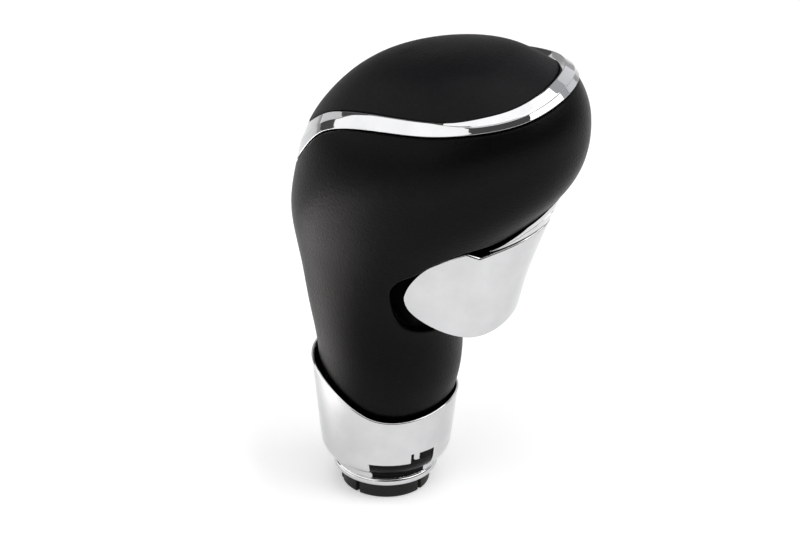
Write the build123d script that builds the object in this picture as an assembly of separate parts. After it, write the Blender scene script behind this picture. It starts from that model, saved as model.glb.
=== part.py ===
from build123d import *
import os
from math import cos, sin, pi, radians

os.makedirs("parts", exist_ok=True)

# ---------------------------------------------------------------------------
# Selector knob for an automatic gearbox, millimetres.
# Origin: lever axis at the underside of the base ring.  +Z up along the lever,
# +X forward (the side of the overhang and the release trigger), symmetric in Y.
# ---------------------------------------------------------------------------

# Outer form of grip and head.  Each row is a section in a plane that tilts
# about Y: height on the lever axis, slope dz/dx, rearmost x, foremost x,
# half width, x of the widest point.
GRIP_SECTIONS = [
    (23.755, -0.3536, -16.048, 15.600, 15.948, -0.615),
    (27.955, -0.3536, -16.630, 15.900, 16.700, -0.615),
    (38.455, -0.2049, -17.505, 18.438, 18.490, 0.484),
    (50.894, -0.0224, -19.296, 19.236, 19.701, -0.079),
    (65.390, 0.1919, -21.221, 29.190, 21.727, 3.868),
    (71.062, 0.2693, -22.140, 37.900, 22.864, 7.398),
    (76.298, 0.3197, -23.003, 45.500, 24.073, 10.523),
    (87.229, 0.3492, -23.906, 48.887, 26.388, 13.062),
    (95.221, 0.3206, -22.584, 47.816, 27.404, 14.731),
    (103.212, 0.3113, -20.310, 44.065, 25.059, 13.812),
    (110.240, 0.3031, -15.349, 35.885, 19.944, 11.807),
    (115.456, 0.2971, -8.524, 24.627, 12.905, 9.048),
    (117.987, 0.2941, -1.709, 13.388, 5.877, 6.293),
    (118.572, 0.2934, 3.062, 5.519, 0.956, 4.364),
]
# The same form one skin thickness (2.2 mm) further in: outside of the carrier.
CORE_SECTIONS = [
    (23.755, -0.3536, -13.579, 13.300, 13.714, -0.615),
    (27.955, -0.3536, -14.187, 13.680, 14.460, -0.615),
    (38.455, -0.2049, -15.157, 16.223, 16.273, 0.484),
    (50.894, -0.0224, -17.045, 16.986, 17.488, -0.079),
    (65.390, 0.1919, -19.020, 26.009, 19.501, 3.868),
    (71.062, 0.2693, -19.939, 34.180, 20.631, 7.398),
    (76.298, 0.3197, -20.783, 42.100, 21.834, 10.523),
    (87.229, 0.3492, -21.555, 46.531, 24.157, 13.062),
    (95.221, 0.3206, -20.092, 45.616, 25.202, 14.731),
    (102.460, 0.3113, -18.031, 42.054, 23.045, 13.812),
    (108.826, 0.3031, -13.536, 34.284, 18.341, 11.807),
    (113.551, 0.2971, -7.350, 23.591, 11.867, 9.048),
    (115.844, 0.2941, -1.175, 12.917, 5.405, 6.293),
]
# Hollow of each carrier half, open at the parting plane: side outlines of the
# shallow and the deep pocket and their depths.
POCKET_1 = [(-8, 57), (-14.5, 64), (-17.2, 78), (-16, 88), (-13.8, 96), (-9.5, 103.5),
            (-3.5, 109.5), (5, 112.8), (15, 115), (25, 115.8), (33, 114.6), (38.5, 111.5),
            (41.3, 107.5), (42, 102.5), (38.5, 92.5), (32.8, 84.5), (32.8, 79.0), (12.5, 78.5),
            (8.0, 75.0), (8.0, 57)]
POCKET_1_Y = 10.0
POCKET_2 = [(-6, 68), (-9, 78), (-8, 90), (-3, 99), (4, 105), (14, 108), (24, 108.5),
            (31, 106.5), (34, 101), (32.5, 93), (28, 86), (22, 82.5), (14, 79.5), (4, 72)]
POCKET_2_Y = 16.0
# Side outlines of the room that the paddle sweeps: its two walls, and the middle.
ROOM_WALLS = [(12, 51.4), (7.5, 56.5), (3.2, 63.0), (3.2, 66.5), (6.3, 72.0), (13.2, 76.2),
              (22, 78.2), (26, 79.0), (26, 51.4)]
ROOM_WALL_Y = 14.6

# Side-view edges (x, z), all square to the side.
RING_LOWER = [(-34, 66.0), (-28, 77.0), (-24, 84.8), (-19.9, 92.3), (-15.3, 99.3),
              (-9.1, 104.2), (-1.2, 107.1), (7.4, 108.7), (16.5, 109.8), (25, 111.0),
              (32.8, 112.2), (38.7, 113.5), (44.5, 115.7), (52, 119.5), (60, 124.0)]
RING_UPPER = [(-34, 72.5), (-28, 83.5), (-24, 90.8), (-19.2, 98.6), (-15.6, 102.8),
              (-11.8, 105.9), (-8.2, 107.8), (-3.5, 109.5), (5.3, 111.4), (14.8, 112.5),
              (21.3, 113.2), (28.8, 114.7), (35.2, 116.3), (40.8, 118.7), (48, 122.5),
              (60, 129.0)]
RING_GAP = 0.25            # shadow line on each side of the trim ring
COLLAR_RIM = [(-30, 38.0), (-24, 37.1), (-18.5, 36.2), (-15.3, 35.5), (-12.9, 34.3),
              (-10, 32.8), (-6.9, 31.0), (-4.2, 29.4), (-1.5, 28.0), (1.1, 26.9),
              (3.5, 26.3), (6.5, 26.0), (9.5, 26.05), (12.5, 26.4), (15.3, 26.95),
              (18, 27.6), (22, 28.7), (30, 31.0)]
OPENING_TOP = [(6.4, 64.4), (7.4, 67.0), (9.2, 68.9), (11.6, 70.2), (13.8, 71.5),
               (16.6, 73.6), (19.9, 75.7), (22.8, 77.1), (25.9, 78.0), (29.2, 78.6),
               (31.6, 79.4), (34.2, 80.6), (36.6, 81.8), (39.0, 83.4), (41.5, 85.6),
               (44.0, 87.5), (48.0, 89.8)]
OPENING_BACK = [(6.4, 64.4), (6.7, 61.0), (7.4, 57.6), (9.4, 54.2), (12.2, 52.5),
                (16, 51.6), (22, 51.2)]

# Release trigger: plan sections (height, foremost x, half width) and its
# side outline.
TRIGGER_PLAN = [(47, 31.3, 16.5), (56, 33.2, 17.3), (64, 35.1, 17.9),
                (72, 37.6, 18.3), (80, 40.4, 18.5), (85, 42.2, 18.5),
                (92, 44.7, 18.4)]
TRIGGER_PLAN_X = 14.0
TRIGGER_WALL = 1.8
TRIGGER_LOW = [(37, 59.2), (33.5, 54.6), (31.5, 52.9), (29, 51.9), (25.5, 51.6),
               (22, 52.4), (18.5, 53.7), (15, 55.3), (12, 57.0), (10, 58.8),
               (8.9, 60.8), (8.7, 62.4), (9.3, 64.6), (11, 67.6), (13.5, 70.2),
               (17, 72.6), (21, 74.6), (24.2, 75.8)]
TRIGGER_TOP = [(27.2, 75.2), (30, 76.3), (33, 77.3), (36, 78.4), (38.5, 79.4),
               (40.4, 80.2), (46, 83.0)]
# Underside of the paddle's top wall.
TRIGGER_ROOF = [(19.0, 71.8), (23.0, 73.8), (27.2, 74.0), (30, 75.1), (33, 76.1), (36, 77.2),
                (38.5, 78.2), (40.4, 79.0), (46, 81.8)]
TRIGGER_PIVOT = (29.5, 88.0)
TRIGGER_TRAVEL_DEG = 10.0
TRIGGER_PIN_R = 2.0
RUNNING = 0.06             # radial clearance of the pivots

# See-saw crank between trigger and rod.
CRANK_PIVOT = (8.5, 84.0)
CRANK_PIN_R = 1.75
CRANK_REAR_ARM = 8.5
CRANK_FRONT_ARM = 5.5
CRANK_REST_DEG = 14.1      # rear arm stands this much above level at rest
CRANK_NOSE_R = 1.8
CRANK_HALF_W = 3.5

# Push rod, guide and return spring.
ROD_R = 3.0
ROD_TIP_Z = 38.0
BUTTON_R = 2.9
BUTTON_FLANGE_R = 5.8
GUIDE_R = 6.5
GUIDE_Z0, GUIDE_Z1 = 44.0, 55.5
SPRING_R = 4.6
SPRING_WIRE_R = 0.5
SPRING_TURNS = 7

# Lever sleeve and base.
LEVER_BORE_R = 6.5
LEVER_BORE_L = 33.5         # the lever's end meets a shoulder here
ROD_ROOM_R = 5.0
SLEEVE_R = 9.0
SLEEVE_TOP = 44.0
COLLAR_WALL = 1.3
COLLAR_RIM_WALL = 0.9       # thinner where the skin tucks in
COLLAR_CONE = ((16.4, 12.0), (19.72, 44.0))    # (radius, height) of the outer cone
WINDOW_LONG = (-89.4, -24.6)   # latch window in the skirt, degrees from +X
WINDOW_TALL = (-51.4, -24.6)
WINDOW_HOOK = (-47.4, -43.4)
WINDOW_TOP, HOOK_LOW = 15.5, 13.6
LOCK_R = 11.2
LOCK_ROOT_R = 10.1
# tabs of the lock ring: middle direction and span, degrees from +X
TABS = [(-68, 84), (-131, 32), (-173.5, 43), (-0.5, 41), (50, 50), (105, 50), (147.5, 25)]

# Carrier details.
BOSS_IN = 7.0              # inner face of the bosses that hold the pivot pins
PIN_HALF = 10.0
SCREWS = [(-11.0, 51.0, 6.5), (-13.0, 89.0, 9.0), (37.0, 101.0, 9.0)]  # x, z, y under head
SCREW_R, SCREW_HEAD_R, SCREW_HEAD_T = 1.5, 2.8, 2.2
CAP_PEGS = [(-2.0, 9.0), (-2.0, -9.0), (27.0, 0.0)]
CAP_PEG_R = 2.2
BEZEL_INSET, BEZEL_WALL = 0.1, 1.5
BEZEL_LOW = [(29.3, 76.85), (30, 76.95), (31, 77.15), (32, 77.4), (33, 77.72), (36, 78.78),
             (38.5, 79.75), (40.4, 80.55), (46, 83.35)]
BEZEL_TOP = [(29.3, 77.0), (30, 77.25), (31, 77.75), (32, 78.4), (33.2, 79.3), (34.5, 80.2),
             (36, 81.2), (37.5, 82.6), (39, 84.2), (42, 87.5), (48, 92.0)]


# ------------------------------------------------------------------ helpers
def section_wire(row, n=12):
    zc, m, xr, xf, w, xm = row
    pts = []
    for i in range(n):
        t = 2 * pi * i / n
        c, s = cos(t), sin(t)
        x = xm + (xf - xm) * c if c >= 0 else xm + (xm - xr) * c
        pts.append(Vector(x, w * s, zc + m * x))
    return Wire([Edge.make_spline(pts, periodic=True)])


def lofted(rows):
    return Solid.make_loft([section_wire(r) for r in rows], ruled=False)


def side_face(*runs):
    """Closed face in the side plane from runs of (x, z): a run of more than two
    points is a smooth curve, joined to the next run by a straight line."""
    edges = []
    ends = []
    for run in runs:
        v = [Vector(x, 0, z) for x, z in run]
        if len(v) > 2:
            edges.append(Edge.make_spline(v))
        elif len(v) == 2:
            edges.append(Edge.make_line(v[0], v[1]))
        ends.append((v[0], v[-1]))
    for i in range(len(ends)):
        a, b = ends[i][1], ends[(i + 1) % len(ends)][0]
        if (a - b).length > 1e-6:
            edges.append(Edge.make_line(a, b))
    return Face(Wire.combine(edges)[0])


def slab(face, y0, y1):
    f = face.moved(Location((0, y0, 0)))
    return Solid.extrude(f, Vector(0, y1 - y0, 0))


def below(curve, dz=0.0, z0=-20.0, half=45.0):
    c = [(x, z + dz) for x, z in curve]
    return slab(side_face(c, [(c[-1][0], z0), (c[0][0], z0)]), -half, half)


def above(curve, dz=0.0, z1=160.0, half=45.0):
    c = [(x, z + dz) for x, z in curve]
    return slab(side_face(c, [(c[-1][0], z1), (c[0][0], z1)]), -half, half)


def box(x0, x1, y0, y1, z0, z1):
    return Solid.make_box(x1 - x0, y1 - y0, z1 - z0, Plane((x0, y0, z0)))


def cyl_z(r, z0, z1, x=0.0, y=0.0):
    return Solid.make_cylinder(r, z1 - z0, Plane((x, y, z0), z_dir=(0, 0, 1)))


def cyl_y(r, x, z, y0, y1):
    return Solid.make_cylinder(r, y1 - y0, Plane((x, y0, z), x_dir=(1, 0, 0), z_dir=(0, 1, 0)))


def turned(profile):
    """Solid of revolution about the lever axis from a closed (r, z) polygon."""
    pts = [Vector(r, 0, z) for r, z in profile]
    w = Wire.make_polygon(pts, close=True)
    return Solid.revolve(Face(w), 360, Axis.Z)


def only(shape):
    """The single largest solid of a result."""
    s = sorted(shape.solids(), key=lambda q: q.volume)
    return s[-1]


def write(name, shape):
    export_step(shape, os.path.join("parts", name + ".step"))


# ------------------------------------------------------------ master solids
outer = lofted(GRIP_SECTIONS)
inner = lofted(CORE_SECTIONS)

# ------------------------------------------------------------ release trigger
def trigger_loft(inset):
    wires = []
    for z, xf, w in TRIGGER_PLAN:
        a, b, x0 = xf - inset - TRIGGER_PLAN_X, w - inset, -2.0
        arc = []
        for i in range(9):
            t = -pi / 2 + pi * i / 8
            arc.append(Vector(TRIGGER_PLAN_X + a * cos(t), b * sin(t), z))
        e1 = Edge.make_line(Vector(x0, -b, z), arc[0])
        e2 = Edge.make_spline(arc, tangents=[Vector(1, 0, 0), Vector(-1, 0, 0)])
        e3 = Edge.make_line(arc[-1], Vector(x0, b, z))
        e4 = Edge.make_line(Vector(x0, b, z), Vector(x0, -b, z))
        wires.append(Wire([e1, e2, e3, e4]))
    return Solid.make_loft(wires, ruled=False)


side = side_face(TRIGGER_LOW, TRIGGER_TOP, [(50, 83.0), (50, 59.2)])
side_prism = slab(side, -30, 30)
trigger_block = only(trigger_loft(0.0) & side_prism)
low_in = [(x, z + TRIGGER_WALL) for x, z in TRIGGER_LOW[:9]]
side_in = side_face(low_in, [(0, 62), (0, 71.8)], TRIGGER_ROOF, [(60, 84), (60, low_in[0][1])])
trigger_room = only(trigger_loft(TRIGGER_WALL) & slab(side_in, -30, 30))
BOSS_XY = [(23.0, 10.5), (23.0, -10.5)]
boss_top = 66.0
trigger = only(trigger_block.cut(trigger_room, box(-5, 18.0, -15.0, 15.0, 40, 90),
                                 box(10, 33.5, -7.0, 7.0, 70, 90),
                                 *[cyl_z(3.2, 70, 90, bx, by) for bx, by in BOSS_XY]))
stems = [only(cyl_z(3.0, 50.0, boss_top, bx, by) & side_prism) for bx, by in BOSS_XY]
trigger = trigger.fuse(*stems)
trigger = only(trigger.cut(*[cyl_z(1.25, 57.0, boss_top + 1, bx, by) for bx, by in BOSS_XY]))

# carrier arm inside the trigger: deck that fills the paddle, web and pivot lug
px, pz = TRIGGER_PIVOT
deck = only(trigger_room & box(19.0, 50, -14.8, 14.8, boss_top, boss_top + 3.0))
web_face = side_face([(31.0, 59.5), (25.0, 59.5)], [(20.5, 65.0), (18.0, 72.5)],
                     [(14.0, 77.0), (14.0, 80.5)], [(18.5, 80.5), (22.0, 81.5)],
                     [(25.8, 86.0), (25.8, 88.6)], [(32.6, 88.6), (31.8, 84.0)],
                     [(30.6, 80.5), (30.6, 66.0)])
web = slab(web_face, -6, 6)
lug = cyl_y(4.0, px, pz, -6, 6)
carrier = web.fuse(lug, deck)
carrier = only(carrier.cut(cyl_y(TRIGGER_PIN_R + RUNNING, px, pz, -10, 10),
                           *[cyl_z(1.45, boss_top - 1, boss_top + 5, bx, by) for bx, by in BOSS_XY]))

carrier_screws = []
for bx, by in BOSS_XY:
    s = cyl_z(1.25, 58.0, boss_top + 3.0, bx, by) + cyl_z(2.6, boss_top + 3.0, boss_top + 4.8, bx, by)
    s = s - box(bx - 1.6, bx + 1.6, by - 0.3, by + 0.3, boss_top + 4.0, boss_top + 6)
    s = s - box(bx - 0.3, bx + 0.3, by - 1.6, by + 1.6, boss_top + 4.0, boss_top + 6)
    carrier_screws.append(only(s))

trigger_pin = cyl_y(TRIGGER_PIN_R, px, pz, -PIN_HALF, PIN_HALF)

# ------------------------------------------------------------ crank and rod
cx, cz = CRANK_PIVOT
ra = radians(180 - CRANK_REST_DEG)
fa = radians(-CRANK_REST_DEG)
rear_nose = (cx + CRANK_REAR_ARM * cos(ra), cz + CRANK_REAR_ARM * sin(ra))
front_nose = (cx + CRANK_FRONT_ARM * cos(fa), cz + CRANK_FRONT_ARM * sin(fa))


def arm(a, b, r0, r1, half):
    """Tapered arm in the side plane from a to b."""
    dx, dz = b[0] - a[0], b[1] - a[1]
    L = (dx * dx + dz * dz) ** 0.5
    nx, nz = -dz / L, dx / L
    f = side_face([(a[0] + nx * r0, a[1] + nz * r0), (b[0] + nx * r1, b[1] + nz * r1)],
                  [(b[0] - nx * r1, b[1] - nz * r1), (a[0] - nx * r0, a[1] - nz * r0)])
    return slab(f, -half, half)


crank = cyl_y(3.2, cx, cz, -BOSS_IN + 0.4, BOSS_IN - 0.4)
crank = crank + arm(CRANK_PIVOT, rear_nose, 1.9, 1.7, CRANK_HALF_W)
crank = crank + cyl_y(CRANK_NOSE_R, rear_nose[0], rear_nose[1], -CRANK_HALF_W, CRANK_HALF_W)
crank = crank + arm(CRANK_PIVOT, front_nose, 1.9, 1.7, CRANK_HALF_W)
crank = crank + cyl_y(CRANK_NOSE_R, front_nose[0], front_nose[1], -CRANK_HALF_W, CRANK_HALF_W)
crank = only(crank - cyl_y(CRANK_PIN_R + RUNNING, cx, cz, -12, 12))
crank_pin = cyl_y(CRANK_PIN_R, cx, cz, -PIN_HALF, PIN_HALF)

button_top = rear_nose[1] - CRANK_NOSE_R - 0.35
button_low = button_top - 6.0
rod = cyl_z(ROD_R, ROD_TIP_Z + 1.0, button_low) + cyl_z(2.0, button_low - 0.5, button_low + 3.2)
rod = rod + Solid.make_cone(ROD_R - 1.0, ROD_R, 1.0, Plane((0, 0, ROD_TIP_Z)))
rod = only(rod)
button = cyl_z(BUTTON_FLANGE_R, button_low, button_low + 1.4) + cyl_z(BUTTON_R, button_low, button_top - 1.4)
button = button + Solid.make_cone(BUTTON_R, 1.3, 1.4, Plane((0, 0, button_top - 1.4)))
button = only(button - cyl_z(2.0, button_low - 1, button_low + 3.2))

guide = cyl_z(GUIDE_R, GUIDE_Z0, GUIDE_Z1) + cyl_z(GUIDE_R + 0.6, GUIDE_Z1 - 1.5, GUIDE_Z1)
guide = only(guide - cyl_z(ROD_R + RUNNING, GUIDE_Z0 - 1, GUIDE_Z1 + 1))

spring_len = (button_low - 0.6) - (GUIDE_Z1 + 0.6)
helix = Edge.make_helix(pitch=spring_len / SPRING_TURNS, height=spring_len, radius=SPRING_R,
                        center=(0, 0, GUIDE_Z1 + 0.6))
sect_plane = Plane(origin=helix @ 0, z_dir=helix % 0)
spring = only(sweep(sect_plane * Circle(SPRING_WIRE_R), path=Wire([helix]), is_frenet=True))

# ------------------------------------------------------------ lever sleeve, base
sleeve = cyl_z(SLEEVE_R, 0.0, SLEEVE_TOP) - cyl_z(LEVER_BORE_R, -1, LEVER_BORE_L)
sleeve = sleeve - cyl_z(ROD_ROOM_R, 0, SLEEVE_TOP - 2.0)
sleeve = sleeve - cyl_z(ROD_R + 0.5, 0, SLEEVE_TOP + 1)
CLIP_Z0, CLIP_Z1, CLIP_R = 19.0, 21.0, 7.8
groove = cyl_z(SLEEVE_R + 1, CLIP_Z0, CLIP_Z1) - cyl_z(CLIP_R, CLIP_Z0 - 1, CLIP_Z1 + 1)
sleeve = only(sleeve - groove)
clip = cyl_z(SLEEVE_R, CLIP_Z0, CLIP_Z1) - cyl_z(CLIP_R, CLIP_Z0 - 1, CLIP_Z1 + 1)
clip = only(clip - box(2, 12, -3.0, 3.0, CLIP_Z0 - 1, CLIP_Z1 + 1))

(cr0, cz0), (cr1, cz1) = COLLAR_CONE


def cone_r(z):
    return cr0 + (cr1 - cr0) * (z - cz0) / (cz1 - cz0)


collar = turned([
    (cone_r(44), 44), (cone_r(12), 12), (16.1, 10.9), (15.5, 10.0), (14.6, 9.3), (13.7, 8.9),
    (13.2, 8.4), (13.0, 7.7), (13.05, 6.6), (13.15, 6.0), (13.15, 5.3), (12.9, 4.7), (12.4, 4.4),
    (LOCK_R, 4.4), (LOCK_R, 9.0), (cone_r(11) - COLLAR_WALL, 11.0),
    (cone_r(18) - COLLAR_WALL, 18.0), (cone_r(20) - COLLAR_RIM_WALL, 20.0),
    (cone_r(44) - COLLAR_RIM_WALL, 44)])
collar = only(collar & below(COLLAR_RIM))


def sector(a0, a1, z0, z1):
    """Wedge about the lever axis between two directions, degrees from +X."""
    a0, a1 = radians(a0), radians(a1)
    f = Face(Wire.make_polygon([
        Vector(0, 0, z0), Vector(30 * cos(a0), 30 * sin(a0), z0),
        Vector(30 * cos(a1), 30 * sin(a1), z0)], close=True))
    return Solid.extrude(f, Vector(0, 0, z1 - z0))


# sunk latch window in the skirt, with a taller end and a small hook in that end
low_room = turned([(12.42, 6.7), (12.4, 7.3), (12.66, 8.2), (13.6, 8.9), (14.66, 9.9),
                   (15.4, 11.4), (15.66, 12.62), (25, 12.62), (25, 6.7)])
tall_room = turned([(15.66, 12.5), (15.66, 12.62), (15.98, WINDOW_TOP), (25, WINDOW_TOP), (25, 12.5)])
tall_room = only(tall_room & sector(*WINDOW_TALL, 0, 20))
tall_room = only(tall_room - sector(*WINDOW_HOOK, HOOK_LOW, 20))
collar = only(collar - only(low_room & sector(*WINDOW_LONG, 0, 20)))
collar = only(collar - tall_room)

lock = cyl_z(LOCK_R, 0, 11.0) - cyl_z(SLEEVE_R, -1, 12)
waist = cyl_z(LOCK_R + 2, -1, 4.2) - cyl_z(LOCK_ROOT_R, -2, 5)
wedges = []
for mid, span in TABS:
    a0, a1 = radians(mid - span / 2), radians(mid + span / 2)
    f = Face(Wire.make_polygon([
        Vector(0, 0, -2), Vector(30 * cos(a0), 30 * sin(a0), -2),
        Vector(30 * cos(a1), 30 * sin(a1), -2)], close=True))
    wedges.append(Solid.extrude(f, Vector(0, 0, 12)))
lock = only(lock.cut(*waist.cut(*wedges).solids()))

# ------------------------------------------------------------ skin, ring, cap
opening = slab(side_face(OPENING_TOP, [(70, 90.5), (70, 51.2)], list(reversed(OPENING_BACK))), -45, 45)
skin = only(outer & below(RING_LOWER, -RING_GAP))
skin = only(skin.cut(opening, inner))
ring = only(only(outer & above(RING_LOWER)) & below(RING_UPPER))
ring = only(ring - inner)
cap = only(outer & above(RING_UPPER, RING_GAP))
cap = only(cap - inner)
pegs = [only(cyl_z(CAP_PEG_R, 103.0, 122.0, qx, qy) & inner) for qx, qy in CAP_PEGS]
cap = only(cap.fuse(*pegs))

# bezel: tapered band under the front edge of the skin that carries the paddle's surface on
strip = only(slab(side_face(BEZEL_TOP, list(reversed(BEZEL_LOW))), -44, 44) & opening)
bezel = only(only(trigger_loft(BEZEL_INSET) & strip) - trigger_loft(BEZEL_INSET + BEZEL_WALL))

# ------------------------------------------------------------ carrier halves
core = inner.fuse(cyl_z(12.6, 11.0, 34.0),
                  turned([(5, 11.0), (cone_r(11) - COLLAR_WALL, 11.0),
                          (cone_r(18) - COLLAR_WALL, 18.0), (5, 18.0)]))
bosses = []
for y0, y1 in ((BOSS_IN, 30), (-30, -BOSS_IN)):
    bosses.append(cyl_y(4.6, px, pz, y0, y1))
    bosses.append(cyl_y(4.2, cx, cz, y0, y1))
    bosses.append(box(16.5, 21.5, y0, y1, 83.2, 89.0))
for sx, sz, sy in SCREWS[1:]:
    bosses.append(cyl_y(4.2, sx, sz, -30, 30))
pocket = slab(side_face(*[[a, b] for a, b in zip(POCKET_1, POCKET_1[1:] + POCKET_1[:1])]), -POCKET_1_Y, POCKET_1_Y)
pocket = pocket + slab(side_face(*[[a, b] for a, b in zip(POCKET_2, POCKET_2[1:] + POCKET_2[:1])]), -POCKET_2_Y, POCKET_2_Y)
pocket = pocket.cut(*bosses)
walls_face = side_face(*[[a, b] for a, b in zip(ROOM_WALLS, ROOM_WALLS[1:] + ROOM_WALLS[:1])])
middle = slab(side_face([(19.5, 51.4), (15.8, 52.8)], [(11.5, 55.3), (11.5, 74.5)], [(16, 77.2), (25.9, 78.0)],
                        OPENING_TOP[8:], [(70, 90.5), (70, 51.4)]), -40, 40)
core_screws, screw_holes = [], []
for sx, sz, sy in SCREWS:
    s = cyl_y(SCREW_R, sx, sz, -(sy - 1.0), sy) + cyl_y(SCREW_HEAD_R, sx, sz, sy, sy + SCREW_HEAD_T)
    screw_holes += [cyl_y(SCREW_R, sx, sz, -(sy - 1.0), sy), cyl_y(SCREW_HEAD_R, sx, sz, sy, 45)]
    s = s - box(sx - 1.7, sx + 1.7, sy + 1.0, sy + 9, sz - 0.35, sz + 0.35)
    s = s - box(sx - 0.35, sx + 0.35, sy + 1.0, sy + 9, sz - 1.7, sz + 1.7)
    core_screws.append(only(s))
core = core.cut(*pocket.solids(), slab(walls_face, ROOM_WALL_Y, 40), slab(walls_face, -40, -ROOM_WALL_Y),
                middle, box(11.5, 31.0, -6.7, 6.7, 70.0, 82.0))
core = core.cut(cyl_z(SLEEVE_R, 8, SLEEVE_TOP), cyl_z(GUIDE_R, SLEEVE_TOP - 1, GUIDE_Z1 + 1),
                cyl_z(GUIDE_R + 0.6, GUIDE_Z1 - 1.5, 60),
                cyl_y(TRIGGER_PIN_R, px, pz, -PIN_HALF, PIN_HALF),
                cyl_y(CRANK_PIN_R, cx, cz, -PIN_HALF, PIN_HALF),
                *[cyl_z(CAP_PEG_R, 103.0, 122.0, qx, qy) for qx, qy in CAP_PEGS],
                *screw_holes)
core_left = only(core & box(-80, 80, 0, 60, -10, 160))
core_right = only(core & box(-80, 80, -60, 0, -10, 160))

# rubber stop over the web of the carrier arm, held between two bosses
stop = box(16.8, 21.2, -BOSS_IN, BOSS_IN, 83.4, 88.0)

# ------------------------------------------------------------ write the nodes
write("grip_skin", skin)
write("top_cap", cap)
write("trim_ring", ring)
write("trigger", trigger)
write("trigger_carrier", carrier)
write("carrier_screws", Compound(children=carrier_screws))
write("trigger_pin", trigger_pin)
write("trigger_bezel", bezel)
write("trigger_stop", stop)
write("crank_lever", crank)
write("crank_pin", crank_pin)
write("push_rod", rod)
write("rod_button", button)
write("rod_guide", guide)
write("return_spring", spring)
write("lever_sleeve", sleeve)
write("lever_clip", clip)
write("base_collar", collar)
write("lock_ring", lock)
write("core_left", core_left)
write("core_right", core_right)
write("core_screws", Compound(children=core_screws))
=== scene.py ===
import math

import bpy
import numpy as np
from mathutils import Matrix, Vector


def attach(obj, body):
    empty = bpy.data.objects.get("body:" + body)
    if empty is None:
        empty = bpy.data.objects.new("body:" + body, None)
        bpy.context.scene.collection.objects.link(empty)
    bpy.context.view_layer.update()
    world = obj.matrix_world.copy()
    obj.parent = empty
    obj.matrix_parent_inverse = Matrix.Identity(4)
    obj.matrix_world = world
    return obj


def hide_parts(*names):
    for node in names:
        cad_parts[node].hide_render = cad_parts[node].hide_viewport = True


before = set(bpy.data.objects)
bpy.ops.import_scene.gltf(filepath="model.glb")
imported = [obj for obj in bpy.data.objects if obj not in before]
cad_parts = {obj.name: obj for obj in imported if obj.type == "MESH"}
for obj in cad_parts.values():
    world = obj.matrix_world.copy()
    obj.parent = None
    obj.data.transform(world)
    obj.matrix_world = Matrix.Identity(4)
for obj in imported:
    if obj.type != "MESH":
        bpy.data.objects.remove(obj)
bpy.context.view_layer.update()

MM = 0.001
PI = math.pi

# ---------------------------------------------------------------------------
# Form of the knob, millimetres, in the row frame (+Z up the lever, +X forward)
# ---------------------------------------------------------------------------
# height on the lever axis, slope dz/dx, rearmost x, foremost x, half width, x of the widest point
GRIP_SECTIONS = [
    (23.755, -0.3536, -16.048, 15.600, 15.948, -0.615),
    (27.955, -0.3536, -16.630, 15.900, 16.700, -0.615),
    (38.455, -0.2049, -17.505, 18.438, 18.490, 0.484),
    (50.894, -0.0224, -19.296, 19.236, 19.701, -0.079),
    (65.390, 0.1919, -21.221, 29.190, 21.727, 3.868),
    (71.062, 0.2693, -22.140, 37.900, 22.864, 7.398),
    (76.298, 0.3197, -23.003, 45.500, 24.073, 10.523),
    (87.229, 0.3492, -23.906, 48.887, 26.388, 13.062),
    (95.221, 0.3206, -22.584, 47.816, 27.404, 14.731),
    (103.212, 0.3113, -20.310, 44.065, 25.059, 13.812),
    (110.240, 0.3031, -15.349, 35.885, 19.944, 11.807),
    (115.456, 0.2971, -8.524, 24.627, 12.905, 9.048),
    (117.987, 0.2941, -1.709, 13.388, 5.877, 6.293),
    (118.572, 0.2934, 3.062, 5.519, 0.956, 4.364),
]
RING_LOWER = [(-34, 66.0), (-28, 77.0), (-24, 84.8), (-19.9, 92.3), (-15.3, 99.3),
              (-9.1, 104.2), (-1.2, 107.1), (7.4, 108.7), (16.5, 109.8), (25, 111.0),
              (32.8, 112.2), (38.7, 113.5), (44.5, 115.7), (52, 119.5), (60, 124.0)]
RING_UPPER = [(-34, 72.5), (-28, 83.5), (-24, 90.8), (-19.2, 98.6), (-15.6, 102.8),
              (-11.8, 105.9), (-8.2, 107.8), (-3.5, 109.5), (5.3, 111.4), (14.8, 112.5),
              (21.3, 113.2), (28.8, 114.7), (35.2, 116.3), (40.8, 118.7), (48, 122.5),
              (60, 129.0)]
RING_GAP = 0.22
COLLAR_RIM = [(-30, 38.0), (-24, 37.1), (-18.5, 36.2), (-15.3, 35.5), (-12.9, 34.3),
              (-10, 32.8), (-6.9, 31.0), (-4.2, 29.4), (-1.5, 28.0), (1.1, 26.9),
              (3.5, 26.3), (6.5, 26.0), (9.5, 26.05), (12.5, 26.4), (15.3, 26.95),
              (18, 27.6), (22, 28.7), (30, 31.0)]
OPENING_TOP = [(6.4, 64.4), (7.4, 67.0), (9.2, 68.9), (11.6, 70.2), (13.8, 71.5),
               (16.6, 73.6), (19.9, 75.7), (22.8, 77.1), (25.9, 78.0), (29.2, 78.6),
               (31.6, 79.4), (34.2, 80.6), (36.6, 81.8), (39.0, 83.4), (41.5, 85.6),
               (44.0, 87.5), (48.0, 89.8)]
OPENING_BACK = [(6.4, 64.4), (6.7, 61.0), (7.4, 57.6), (9.4, 54.2), (12.2, 52.5),
                (16, 51.6), (22, 51.2)]
TRIGGER_PLAN = [(47, 31.3, 16.5), (56, 33.2, 17.3), (64, 35.1, 17.9),
                (72, 37.6, 18.3), (80, 40.4, 18.5), (85, 42.2, 18.5),
                (92, 44.7, 18.4)]
TRIGGER_PLAN_X = 14.0
TRIGGER_WALL = 1.8
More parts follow.
